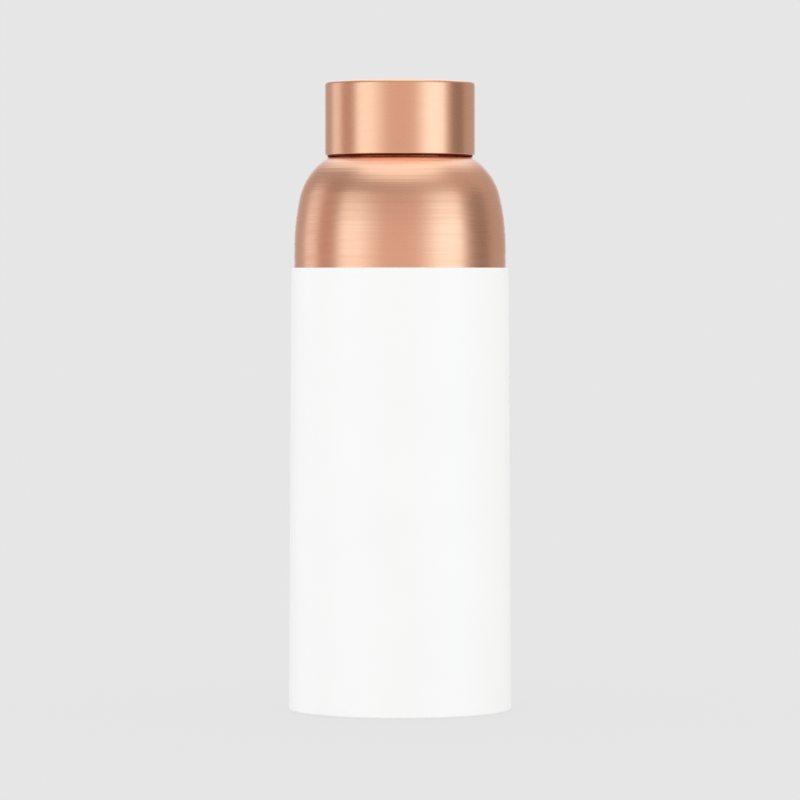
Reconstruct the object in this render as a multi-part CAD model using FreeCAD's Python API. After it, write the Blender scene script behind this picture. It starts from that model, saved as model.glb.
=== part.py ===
import FreeCAD, Part

import math
import os

# Copper water bottle, in millimetres, +Z up. The origin is on the axis, under the foot it stands on.
# Vessel: the body tube, base pan, shoulder dome and neck ring are brazed together, and the white
# sleeve slips over them from below. Cap: the insert is bonded into the copper shell, with a pad
# between their tops. The seal, a copper liner in a silicone gasket, floats under the insert's roof,
# so that it rises with the cap but needn't turn with it.

# ---------------------------------------------------------------- copper vessel
BODY_DIAMETER = 70.0          # outside of the cylinder
STRAIGHT_TOP = 152.2          # height where the cylinder ends and the shoulder begins
SHEET = 0.8                   # copper of the tube, the shoulder and the base
SLACK_RADIUS = 80.0           # first arc of the shoulder
SLACK_TURN = 12.5             # degrees that it turns through
TIGHT_RADIUS = 21.0           # second arc of the shoulder, up to the flat land round the neck
LAND_ROUND = 0.7              # edge between the second arc and the land
LAP_DEPTH = 10.0              # from the sleeve's top edge down to the seam hidden behind it
LAP_LENGTH = 6.0              # end of the tube, swaged to fit inside the shoulder's skirt
SWAGE_LENGTH = 1.2            # taper from the tube's full size to its swaged end
SWAGE_SETBACK = 0.4           # from the top of that taper up to the skirt's edge
BASE_DEPTH = 3.0              # straight part of the base pan's skirt
BASE_KNEE = 1.6               # outside bend from its skirt to its floor
BASE_DOME = 260.0             # radius that its floor is domed to

# ---------------------------------------------------------------- white sleeve
BARE_BAND = 6.0               # straight copper left showing above the sleeve
SLEEVE_TOP_WALL = 0.9
SLEEVE_FOOT_WALL = 1.8        # the outside is drafted and the bore is straight
SLEEVE_FLOOR = 1.6            # thickness of the foot turned in under the copper
SLEEVE_FLOOR_WIDTH = 6.5      # how far the foot reaches in
SLEEVE_TOP_ROUND = 0.35
SLEEVE_FOOT_ROUND = 0.7
SLEEVE_INNER_ROUND = 0.4

# ---------------------------------------------------------------- neck ring
MOUTH_DIAMETER = 37.4
NECK_WALL = 1.5
COLLAR_HEIGHT = 1.3
COLLAR_WIDTH = 1.1            # how far the collar stands out from the barrel
COLLAR_ROUND = 0.4
COLLAR_TO_THREAD = 2.9        # up to the middle of the ridge at its lower end
THREAD_TO_RIM = 4.0           # from the top of the ridge at its upper end
RIM_ROUND = 0.6
SPIGOT_STEP = 0.3             # the spigot through the land is this much smaller than the barrel
STAKE_HEIGHT = 0.9            # lip spread out under the land to lock the ring
STAKE_WIDTH = 0.8
STAKE_ROUND = 0.3

# ---------------------------------------------------------------- thread, one start, right-handed
PITCH = 5.0
THREAD_DEPTH = 1.3
CREST_WIDTH = 1.3
THREAD_FLANK = 26.57          # degrees between a flank and the plane across the axis
CREST_CLEARANCE = 0.4         # from the crest of either ridge to the wall that it faces
FLANK_PLAY = 0.15             # between the two flanks that draw the cap down
NECK_TURNS = 2.0
CAP_TURNS = 1.6
CAP_THREAD_LEAD = 0.2         # turns from the start of the neck's ridge to that of the cap's
RIDGE_FOOT = 0.35             # depth that a ridge is let into its wall
FADE_OFFSET = 5.0             # eccentricity of the turning cut that fades out the end of a ridge
FADE_SINK = 0.15              # depth that this cut ends below the wall's surface

# ---------------------------------------------------------------- cap
CAP_SHEET = 0.8
CAP_TOP_ROUND = 1.1
CAP_LIP_ROUND = 0.35
CAP_GAP = 0.75                # from the land up to the edge of the copper shell
INSERT_WALL = 2.1
INSERT_ROOF = 1.6
INSERT_PROUD = 0.55           # how much of the insert shows below the shell
INSERT_TOP_ROUND = 0.6
INSERT_RIM_ROUND = 0.25
PAD_THICKNESS = 1.0
PAD_INSET = 1.5               # from the insert's edge to the pad's
BEAD_REACH = 0.85             # bead round the bore that keeps the gasket in
BEAD_HEIGHT = 0.9
BEAD_ROUND = 0.2

# ---------------------------------------------------------------- floating seal
SEAL_CLEARANCE = 0.1          # rim to gasket, bead to gasket and gasket to roof
GASKET_HEIGHT = 1.8
GASKET_PLAY = 0.5             # round the gasket, inside the insert
GASKET_OVERHANG = 1.2         # how far the gasket reaches in over the mouth
GASKET_ROUND = 0.2
GROOVE_DEPTH = 1.0            # groove round the inside of the gasket, which grips the liner
LINER_SHEET = 0.5
LINER_RIM = 2.6               # flat of the liner, from the gasket's hole in to the dish
DISH_SLOPE = 1.2
DISH_DEPTH = 0.6
DISH_ROUND = 0.5

# ---------------------------------------------------------------- places worked out from the sizes
body_radius = BODY_DIAMETER / 2
body_bore = body_radius - SHEET
sleeve_top = STRAIGHT_TOP - BARE_BAND
lap_bottom = sleeve_top - LAP_DEPTH

mouth_radius = MOUTH_DIAMETER / 2
barrel_radius = mouth_radius + NECK_WALL
spigot_radius = barrel_radius - SPIGOT_STEP
neck_crest = barrel_radius + THREAD_DEPTH
cap_crest = barrel_radius + CREST_CLEARANCE
insert_bore = neck_crest + CREST_CLEARANCE
insert_radius = insert_bore + INSERT_WALL

flank_slope = math.tan(math.radians(THREAD_FLANK))
root_width = CREST_WIDTH + 2 * THREAD_DEPTH * flank_slope

slack_turn = math.radians(SLACK_TURN)
slack_centre = FreeCAD.Vector(body_radius - SLACK_RADIUS, 0, STRAIGHT_TOP)
tight_reach = SLACK_RADIUS - TIGHT_RADIUS
tight_centre = slack_centre + FreeCAD.Vector(math.cos(slack_turn), 0, math.sin(slack_turn)) * tight_reach
land_edge = insert_radius                    # the land is as wide as the insert above it
land_z = tight_centre.z + math.sqrt(TIGHT_RADIUS**2 - (land_edge - tight_centre.x) ** 2)

neck_thread_z = land_z + COLLAR_HEIGHT + COLLAR_TO_THREAD
rim_z = neck_thread_z + NECK_TURNS * PITCH + root_width / 2 + THREAD_TO_RIM
gasket_bottom = rim_z + SEAL_CLEARANCE
gasket_top = gasket_bottom + GASKET_HEIGHT
roof_bottom = gasket_top + SEAL_CLEARANCE
roof_top = roof_bottom + INSERT_ROOF
ceiling_z = roof_top + PAD_THICKNESS
shell_bottom = land_z + CAP_GAP

gasket_radius = insert_bore - GASKET_PLAY
gasket_hole = mouth_radius - GASKET_OVERHANG
liner_radius = gasket_hole + GROOVE_DEPTH
liner_bottom = gasket_bottom + (GASKET_HEIGHT - LINER_SHEET) / 2
liner_top = liner_bottom + LINER_SHEET


# ---------------------------------------------------------------- outlines and solids of revolution
def at(r, z):
    """A point of a half section, by its radius and height."""
    return FreeCAD.Vector(r, 0, z)


def arc(centre, radius, first, last):
    """Three points of an arc about centre, from the first angle to the last, in radians."""
    angles = (first, (first + last) / 2, last)
    return [centre + at(math.cos(a), math.sin(a)) * radius for a in angles]


def round_off(corner, before, after, radius):
    """Three points of the arc that rounds a corner between its neighbours."""
    back, ahead = before - corner, after - corner
    half = back.getAngle(ahead) / 2
    back.normalize()
    ahead.normalize()
    reach = radius / math.tan(half)
    inward = (back + ahead).normalize()
    middle = corner + inward * (radius / math.sin(half) - radius)
    return [corner + back * reach, middle, corner + ahead * reach]


def spun(runs):
    """Solid of revolution of a closed outline, whose runs are corners or the points of arcs."""
    edges = []
    for run, following in zip(runs, runs[1:] + runs[:1]):
        if len(run) == 3:
            edges.append(Part.Arc(*run).toShape())
        if (following[0] - run[-1]).Length > 1e-6:
            edges.append(Part.LineSegment(run[-1], following[0]).toShape())
    section = Part.Face(Part.Wire(edges))
    return section.revolve(FreeCAD.Vector(), FreeCAD.Vector(0, 0, 1), 360)


def turned(*corners):
    """Solid of revolution of a closed outline of corners (r, z) or (r, z, round)."""
    places = [at(r, z) for r, z, *_ in corners]
    runs = []
    for i, (_, _, *radius) in enumerate(corners):
        after = places[(i + 1) % len(places)]
        if radius:
            runs.append(round_off(places[i], places[i - 1], after, radius[0]))
        else:
            runs.append([places[i]])
    return spun(runs)


# ---------------------------------------------------------------- thread
def ridge(wall, crest, start_z, first_turn, turns):
    """Helical ridge that stands out or in from a wall, and fades out at both ends.

    It lies on the helix through start_z at angle 0, from first_turn onwards.
    """
    outward = math.copysign(1.0, crest - wall)
    foot = wall - outward * RIDGE_FOOT
    foot_half = root_width / 2 + RIDGE_FOOT * flank_slope
    crest_half = root_width / 2 - abs(crest - wall) * flank_slope
    corners = [at(foot, -foot_half), at(crest, -crest_half), at(crest, crest_half), at(foot, foot_half)]
    section = Part.makePolygon(corners + corners[:1])
    path = Part.Wire(Part.makeHelix(PITCH, PITCH * turns, wall).Edges)
    swept = path.makePipeShell([section], True, True)
    turn_and_raise(swept, first_turn, start_z)
    lower = fade(wall, crest, first_turn, start_z, PITCH / 8)
    upper = fade(wall, crest, first_turn + turns, start_z, -PITCH / 8)
    return swept.cut(lower).cut(upper)


def fade(wall, crest, turn, start_z, shift):
    """What an eccentric turning cut takes off the end of a ridge, within one pitch of height."""
    bottom = at(0, shift - PITCH / 2)
    if crest > wall:
        waste = Part.makeCylinder(crest + THREAD_DEPTH, PITCH, bottom)
        kept = Part.makeCylinder(wall + FADE_OFFSET - FADE_SINK, PITCH, bottom - at(FADE_OFFSET, 0))
        waste = waste.cut(kept)
    else:
        waste = Part.makeCylinder(wall - FADE_OFFSET + FADE_SINK, PITCH, bottom + at(FADE_OFFSET, 0))
    turn_and_raise(waste, turn, start_z)
    return waste


def turn_and_raise(shape, turn, start_z):
    """Screw a shape up the helix from start_z by a number of turns."""
    shape.rotate(FreeCAD.Vector(), FreeCAD.Vector(0, 0, 1), 360 * turn)
    shape.translate(FreeCAD.Vector(0, 0, start_z + PITCH * turn))


# ---------------------------------------------------------------- vessel
def shoulder_dome():
    """Spun shoulder, from the skirt that laps over the tube to the flat land with the neck's hole."""
    round_z = land_z - LAND_ROUND
    inner_tight = TIGHT_RADIUS - SHEET
    round_reach = math.sqrt((TIGHT_RADIUS - LAND_ROUND) ** 2 - (round_z - tight_centre.z) ** 2)
    round_centre = at(tight_centre.x + round_reach, round_z)
    outer_end = math.atan2(round_z - tight_centre.z, round_reach)
    inner_end = math.asin((land_z - SHEET - tight_centre.z) / inner_tight)
    return spun([
        [at(body_bore, lap_bottom)],
        [at(body_radius, lap_bottom)],
        arc(slack_centre, SLACK_RADIUS, 0, slack_turn),
        arc(tight_centre, TIGHT_RADIUS, slack_turn, outer_end),
        arc(round_centre, LAND_ROUND, outer_end, math.pi / 2),
        [at(spigot_radius, land_z)],
        [at(spigot_radius, land_z - SHEET)],
        arc(tight_centre, inner_tight, inner_end, slack_turn),
        arc(slack_centre, SLACK_RADIUS - SHEET, slack_turn, 0),
    ])


def body_tube():
    """Cylinder with its top end swaged in, to fit inside the shoulder's skirt."""
    top = lap_bottom + LAP_LENGTH
    swage_top = lap_bottom - SWAGE_SETBACK
    swage_bottom = swage_top - SWAGE_LENGTH
    drop = SHEET * math.tan(math.atan2(SHEET, SWAGE_LENGTH) / 2)
    return turned(
        (body_bore, SLEEVE_FLOOR),
        (body_radius, SLEEVE_FLOOR),
        (body_radius, swage_bottom, SHEET),
        (body_bore, swage_top, SHEET),
        (body_bore, top),
        (body_bore - SHEET, top),
        (body_bore - SHEET, swage_top - drop, SHEET),
        (body_bore, swage_bottom - drop, SHEET),
    )


def base_pan():
    """Pressed base, with its skirt down inside the tube and its domed floor up."""
    knee_centre = at(body_bore - BASE_KNEE, SLEEVE_FLOOR + BASE_DEPTH)
    dome_reach = BASE_DOME - BASE_KNEE
    join = math.acos(knee_centre.x / dome_reach)
    dome_centre = knee_centre - at(math.cos(join), math.sin(join)) * dome_reach
    skirt_bore = body_bore - SHEET
    return spun([
        [at(skirt_bore, SLEEVE_FLOOR)],
        [at(body_bore, SLEEVE_FLOOR)],
        arc(knee_centre, BASE_KNEE, 0, join),
        arc(dome_centre, BASE_DOME, join, math.pi / 2),
        arc(dome_centre, BASE_DOME - SHEET, math.pi / 2, join),
        arc(knee_centre, BASE_KNEE - SHEET, join, 0),
    ])


def neck_ring():
    """Mouth ring: rim, threaded barrel, collar on the land, spigot through it and staked lip."""
    stake_top = land_z - SHEET
    stake_bottom = stake_top - STAKE_HEIGHT
    collar_top = land_z + COLLAR_HEIGHT
    collar_radius = barrel_radius + COLLAR_WIDTH
    ring = turned(
        (mouth_radius, stake_bottom, STAKE_ROUND),
        (spigot_radius + STAKE_WIDTH, stake_bottom, STAKE_ROUND),
        (spigot_radius + STAKE_WIDTH, stake_top),
        (spigot_radius, stake_top),
        (spigot_radius, land_z),
        (collar_radius, land_z),
        (collar_radius, collar_top, COLLAR_ROUND),
        (barrel_radius, collar_top, COLLAR_ROUND),
        (barrel_radius, rim_z, RIM_ROUND),
        (mouth_radius, rim_z, RIM_ROUND),
    )
    return ring.fuse(ridge(barrel_radius, neck_crest, neck_thread_z, 0, NECK_TURNS))


# ---------------------------------------------------------------- sleeve
def white_sleeve():
    """Moulded sleeve, turned in under the copper to make the foot that the bottle stands on."""
    floor_edge = body_radius - SLEEVE_FLOOR_WIDTH
    return turned(
        (floor_edge, 0, SLEEVE_INNER_ROUND),
        (body_radius + SLEEVE_FOOT_WALL, 0, SLEEVE_FOOT_ROUND),
        (body_radius + SLEEVE_TOP_WALL, sleeve_top, SLEEVE_TOP_ROUND),
        (body_radius, sleeve_top),
        (body_radius, SLEEVE_FLOOR),
        (floor_edge, SLEEVE_FLOOR, SLEEVE_INNER_ROUND),
    )


# ---------------------------------------------------------------- cap
def cap_shell():
    """Drawn copper cup."""
    outside = insert_radius + CAP_SHEET
    top = ceiling_z + CAP_SHEET
    return turned(
        (0, ceiling_z),
        (0, top),
        (outside, top, CAP_TOP_ROUND),
        (outside, shell_bottom, CAP_LIP_ROUND),
        (insert_radius, shell_bottom),
        (insert_radius, ceiling_z, CAP_TOP_ROUND - CAP_SHEET),
    )


def cap_insert():
    """Moulded insert: its roof, its threaded bore and the bead that keeps the gasket in."""
    rim = shell_bottom - INSERT_PROUD
    bead_radius = insert_bore - BEAD_REACH
    bead_bottom = rim_z - BEAD_HEIGHT
    cup = turned(
        (0, roof_bottom),
        (0, roof_top),
        (insert_radius, roof_top, INSERT_TOP_ROUND),
        (insert_radius, rim, INSERT_RIM_ROUND),
        (insert_bore, rim, INSERT_RIM_ROUND),
        (insert_bore, bead_bottom - BEAD_REACH),
        (bead_radius, bead_bottom, BEAD_ROUND),
        (bead_radius, rim_z, BEAD_ROUND),
        (insert_bore, rim_z),
        (insert_bore, roof_bottom),
    )
    shared_width = (root_width + CREST_WIDTH) / 2 - CREST_CLEARANCE * flank_slope
    thread_z = neck_thread_z - shared_width - FLANK_PLAY
    return cup.fuse(ridge(insert_bore, cap_crest, thread_z, CAP_THREAD_LEAD, CAP_TURNS))


def cap_pad():
    """Bonding pad between the insert's roof and the top of the shell."""
    return Part.makeCylinder(insert_radius - PAD_INSET, PAD_THICKNESS, at(0, roof_top))


def cap_gasket():
    """Silicone ring that seals on the rim, with a groove round its hole for the liner."""
    return turned(
        (gasket_hole, gasket_bottom, GASKET_ROUND),
        (gasket_radius, gasket_bottom, GASKET_ROUND),
        (gasket_radius, gasket_top, GASKET_ROUND),
        (gasket_hole, gasket_top, GASKET_ROUND),
        (gasket_hole, liner_top),
        (liner_radius, liner_top),
        (liner_radius, liner_bottom),
        (gasket_hole, liner_bottom),
    )


def cap_liner():
    """Copper disc that closes the mouth inside the gasket, dished down in the middle."""
    dish_edge = gasket_hole - LINER_RIM
    dish_foot = dish_edge - DISH_SLOPE
    return turned(
        (0, liner_bottom - DISH_DEPTH),
        (0, liner_top - DISH_DEPTH),
        (dish_foot, liner_top - DISH_DEPTH, DISH_ROUND),
        (dish_edge, liner_top, DISH_ROUND),
        (liner_radius, liner_top),
        (liner_radius, liner_bottom),
        (dish_edge, liner_bottom, DISH_ROUND),
        (dish_foot, liner_bottom - DISH_DEPTH, DISH_ROUND),
    )


# ---------------------------------------------------------------- one file for each piece
PIECES = (
    shoulder_dome, body_tube, base_pan, neck_ring, white_sleeve,
    cap_shell, cap_insert, cap_pad, cap_gasket, cap_liner,
)


def main():
    """Build each piece, see that it is one sound solid, and write it."""
    os.makedirs("parts", exist_ok=True)
    for piece in PIECES:
        name = piece.__name__
        shape = piece()
        if len(shape.Solids) != 1 or not shape.isValid():
            raise ValueError(f"{name} has {len(shape.Solids)} solids, valid: {shape.isValid()}")
        solid = shape.Solids[0]
        solid.exportStep(f"parts/{name}.step")
        box = solid.optimalBoundingBox(False)
        print(f"{name:14}{solid.Volume:10.1f} mm3, z {box.ZMin:7.2f} to {box.ZMax:7.2f}, "
              f"{box.XLength:6.2f} across")


main()
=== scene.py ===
"""Copper water bottle: what the eye sees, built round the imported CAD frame.

The bottle is a spun copper vessel in a soft white sleeve, closed by a copper drum cap. Each
sub-assembly is a class that holds its sizes in millimetres, turns its pieces on one lathe made of
Geometry Nodes, and dresses them in finishes that are classes of their own.
"""

import logging
import math
from dataclasses import dataclass, field
from enum import Enum
from typing import Any, Iterable, Mapping, Sequence

import bmesh
import bpy
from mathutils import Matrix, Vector


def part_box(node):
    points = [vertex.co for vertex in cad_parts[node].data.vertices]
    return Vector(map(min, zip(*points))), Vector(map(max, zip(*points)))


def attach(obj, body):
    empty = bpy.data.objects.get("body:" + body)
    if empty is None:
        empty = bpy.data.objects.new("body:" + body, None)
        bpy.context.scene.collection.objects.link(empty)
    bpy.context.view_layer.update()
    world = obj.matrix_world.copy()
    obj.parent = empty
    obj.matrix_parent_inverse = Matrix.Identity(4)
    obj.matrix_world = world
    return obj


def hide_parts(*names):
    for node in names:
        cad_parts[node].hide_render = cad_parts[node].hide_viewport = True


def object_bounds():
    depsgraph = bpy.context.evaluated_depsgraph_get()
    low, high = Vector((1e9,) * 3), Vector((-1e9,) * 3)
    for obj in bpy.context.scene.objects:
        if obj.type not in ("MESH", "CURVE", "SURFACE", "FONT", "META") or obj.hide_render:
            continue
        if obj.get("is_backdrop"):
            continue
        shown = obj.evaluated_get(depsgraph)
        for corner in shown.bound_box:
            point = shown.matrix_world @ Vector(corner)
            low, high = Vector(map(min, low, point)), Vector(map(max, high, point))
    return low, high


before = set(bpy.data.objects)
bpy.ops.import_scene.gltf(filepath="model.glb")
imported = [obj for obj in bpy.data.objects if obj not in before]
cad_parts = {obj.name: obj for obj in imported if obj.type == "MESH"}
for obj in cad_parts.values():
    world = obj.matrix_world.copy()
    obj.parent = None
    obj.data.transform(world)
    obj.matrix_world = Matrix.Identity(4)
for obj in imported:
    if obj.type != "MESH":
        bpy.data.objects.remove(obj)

LOG = logging.getLogger("bottle")
MM = 0.001
DOUBLES = 2e-7                    # metres: points closer than this are one

Point = tuple[float, float]
Colour = tuple[float, float, float, float]


class Body(Enum):
    """The bodies of the CAD frame that pieces ride on."""

    VESSEL = "vessel"
    SEAL = "seal"
    CAP = "cap"


# ------------------------------------------------------------------ small tools
def linear(code: str) -> Colour:
    """Turn an sRGB hex colour into a linear one.

    Args:
        code: The colour as "#RRGGBB".

    Returns:
        Linear red, green and blue, and an alpha of 1.
    """
    parts = [int(code[i:i + 2], 16) / 255 for i in (1, 3, 5)]
    red, green, blue = [c / 12.92 if c <= 0.04045 else ((c + 0.055) / 1.055) ** 2.4 for c in parts]
    return red, green, blue, 1.0


def add_node(tree: bpy.types.NodeTree, kind: str, inputs: Mapping[Any, Any] | Sequence[Any] = (),
             **settings: Any) -> bpy.types.Node:
    """Add a node to a tree, with its settings and its links.

    Args:
        tree: The tree that gets the node.
        kind: Blender's name for the node's type.
        inputs: What goes into each input, in their order or by name or number: a value, a socket,
            or a node for its first output.
        **settings: Properties of the node.

    Returns:
        The new node.
    """
    node = tree.nodes.new(kind)
    for name, value in settings.items():
        setattr(node, name, value)
    for key, value in inputs.items() if isinstance(inputs, Mapping) else enumerate(inputs):
        if isinstance(value, bpy.types.Node):
            value = value.outputs[0]
        if isinstance(value, bpy.types.NodeSocket):
            tree.links.new(value, node.inputs[key])
        else:
            node.inputs[key].default_value = value
    return node


def reach(node: str) -> float:
    """Outside radius of a round CAD node, in millimetres.

    Args:
        node: The node's name.

    Returns:
        The least that its box reaches from the axis, so that a turned piece stays in the box.
    """
    low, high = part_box(node)
    return min(high.x, high.y, -low.x, -low.y) / MM


def foot_of(node: str) -> float:
    """Height of a CAD node's lowest point, in millimetres."""
    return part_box(node)[0].z / MM


def top_of(node: str) -> float:
    """Height of a CAD node's highest point, in millimetres."""
    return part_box(node)[1].z / MM


# ------------------------------------------------------------------ outlines
def arc(centre: Point, radius: float, first: float, last: float, step: float = 9.0) -> list[Point]:
    """Points along an arc of a half section.

    Args:
        centre: Its centre, as radius and height.
        radius: Its radius in millimetres.
        first: The angle it starts at, in degrees from the horizontal.
        last: The angle it ends at.
        step: The most degrees between two points.

    Returns:
        The points, both ends included.
    """
    count = max(2, math.ceil(abs(last - first) / step))
    angles = [math.radians(first + (last - first) * i / count) for i in range(count + 1)]
    return [(centre[0] + radius * math.cos(a), centre[1] + radius * math.sin(a)) for a in angles]


def rounded(*corners: Sequence[float]) -> list[list[Point]]:
    """Runs of a closed outline given by its corners.

    Args:
        *corners: Each corner as radius, height and, where it isn't sharp, its rounding.

    Returns:
        One run of points for each corner.
    """
    runs = []
    for i, (r, z, *rounding) in enumerate(corners):
        here = Vector((r, z))
        if not rounding:
            runs.append([(r, z)])
            continue
        back = (Vector(corners[i - 1][:2]) - here).normalized()
        ahead = (Vector(corners[(i + 1) % len(corners)][:2]) - here).normalized()
        half = back.angle(ahead) / 2
        centre = here + (back + ahead).normalized() * (rounding[0] / math.sin(half))
        starts = here + back * (rounding[0] / math.tan(half)) - centre
        ends = here + ahead * (rounding[0] / math.tan(half)) - centre
        first = math.degrees(math.atan2(starts.y, starts.x))
        turn = math.degrees(math.atan2(ends.y, ends.x)) - first
        turn = (turn + 180) % 360 - 180
        runs.append(arc(tuple(centre), rounding[0], first, first + turn))
    return runs


@dataclass
class Outline:
    """Closed half section of a turned piece, in millimetres.

    Long straight runs get a point close to each end, so that the smooth shading of a rounded edge
    doesn't spread over the flat beside it.
    """

    runs: list[list[Point]]
    guard: float = 0.12

    def points(self) -> list[Point]:
        """The outline's points in order.

        Returns:
            The points, with the first one again at the end.
        """
        line: list[Point] = []
        for run in self.runs:
            for p in run:
                if not line or math.dist(line[-1], p) > 1e-4:
                    line.append(p)
        if math.dist(line[-1], line[0]) > 1e-4:
            line.append(line[0])
        guarded = [line[0]]
        for a, b in zip(line, line[1:]):
            length = math.dist(a, b)
            for share in self._guards(length):
                guarded.append((a[0] + (b[0] - a[0]) * share, a[1] + (b[1] - a[1]) * share))
            guarded.append(b)
        return guarded

    def _guards(self, length: float) -> list[float]:
        """Where a straight run gets points of its own.

        Args:
            length: The run's length.

        Returns:
            Shares of the length: none on a short run, one near each end, or two on a long one.
        """
        near = [self.guard / length, 4 * self.guard / length]
        near = near[:0 if length < 8 * self.guard else 1 if length <= 16 * self.guard else 2]
        return near + [1 - s for s in reversed(near)]


# ------------------------------------------------------------------ lathe and thread cutter
# How a point of a thread's ridge is worked out: each sum's name, its operation, and what goes in,
# by the name of an input or of an earlier sum.
RIDGE_SUMS = (
    ("share", "ADD", "X", 0.5),
    ("share across", "ADD", "Y", 0.5),
    ("corner", "MULTIPLY", "share across", 6.0),
    ("turns here", "MULTIPLY", "share", "Turns"),
    ("turns left", "SUBTRACT", "Turns", "turns here"),
    ("turns to end", "MINIMUM", "turns here", "turns left"),
    ("angle to end", "MULTIPLY", "turns to end", math.tau),
    ("to end", "MINIMUM", "angle to end", math.radians(80)),
    # The radius that the eccentric cut leaves, at this angle from the ridge's end.
    ("offset less sink", "SUBTRACT", "Fade Offset", "Fade Sink"),
    ("reach", "MULTIPLY", "Side", "offset less sink"),
    ("cut", "ADD", "Wall Radius", "reach"),
    ("cut squared", "POWER", "cut", 2.0),
    ("sine", "SINE", "to end"),
    ("across", "MULTIPLY", "Fade Offset", "sine"),
    ("across squared", "POWER", "across", 2.0),
    ("root squared", "SUBTRACT", "cut squared", "across squared"),
    ("root", "SQRT", "root squared"),
    ("cosine", "COSINE", "to end"),
    ("along", "MULTIPLY", "Fade Offset", "cosine"),
    ("along by side", "MULTIPLY", "Side", "along"),
    ("radius left", "SUBTRACT", "root", "along by side"),
    ("past wall", "SUBTRACT", "radius left", "Wall Radius"),
    ("standing", "MULTIPLY", "Side", "past wall"),
    ("crest", "MINIMUM", "Depth", "standing"),
    # The section's levels, and its half widths above and below the helix.
    ("foot", "MULTIPLY", "Foot Depth", -1.0),
    ("eased", "SUBTRACT", "crest", "Edge Break"),
    ("half", "MULTIPLY", "Root Width", 0.5),
    ("foot slope", "MULTIPLY", "foot", "Flank Slope"),
    ("foot above", "SUBTRACT", "half", "foot slope"),
    ("eased slope", "MULTIPLY", "eased", "Flank Slope"),
    ("eased above", "SUBTRACT", "half", "eased slope"),
    ("crest above", "SUBTRACT", "eased above", "Edge Break"),
    ("foot below", "MULTIPLY", "foot above", -1.0),
    ("eased below", "MULTIPLY", "eased above", -1.0),
    ("crest below", "MULTIPLY", "crest above", -1.0),
    # Both ends close on one point inside the wall.
    ("between ends", "GREATER_THAN", "to end", 1e-4),
    ("at an end", "SUBTRACT", 1.0, "between ends"),
    ("out between", "MULTIPLY", "out", "between ends"),
    ("out at end", "MULTIPLY", "foot", "at an end"),
    ("out here", "ADD", "out between", "out at end"),
    ("out by side", "MULTIPLY", "Side", "out here"),
    ("radius", "ADD", "Wall Radius", "out by side"),
    ("up here", "MULTIPLY", "up", "between ends"),
    ("turn", "ADD", "turns here", "First Turn"),
    ("angle", "MULTIPLY", "turn", math.tau),
    ("rise", "MULTIPLY", "turn", "Pitch"),
    ("middle", "ADD", "rise", "Start Height"),
    ("height", "ADD", "middle", "up here"),
)
# The section's corners, round and back to the first: how far out and how far up each one is.
RIDGE_CORNERS = {
    "out": ("foot", "eased", "crest", "crest", "eased", "foot", "foot"),
    "up": ("foot below", "eased below", "crest below", "crest above", "eased above", "foot above",
           "foot below"),
}


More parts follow.
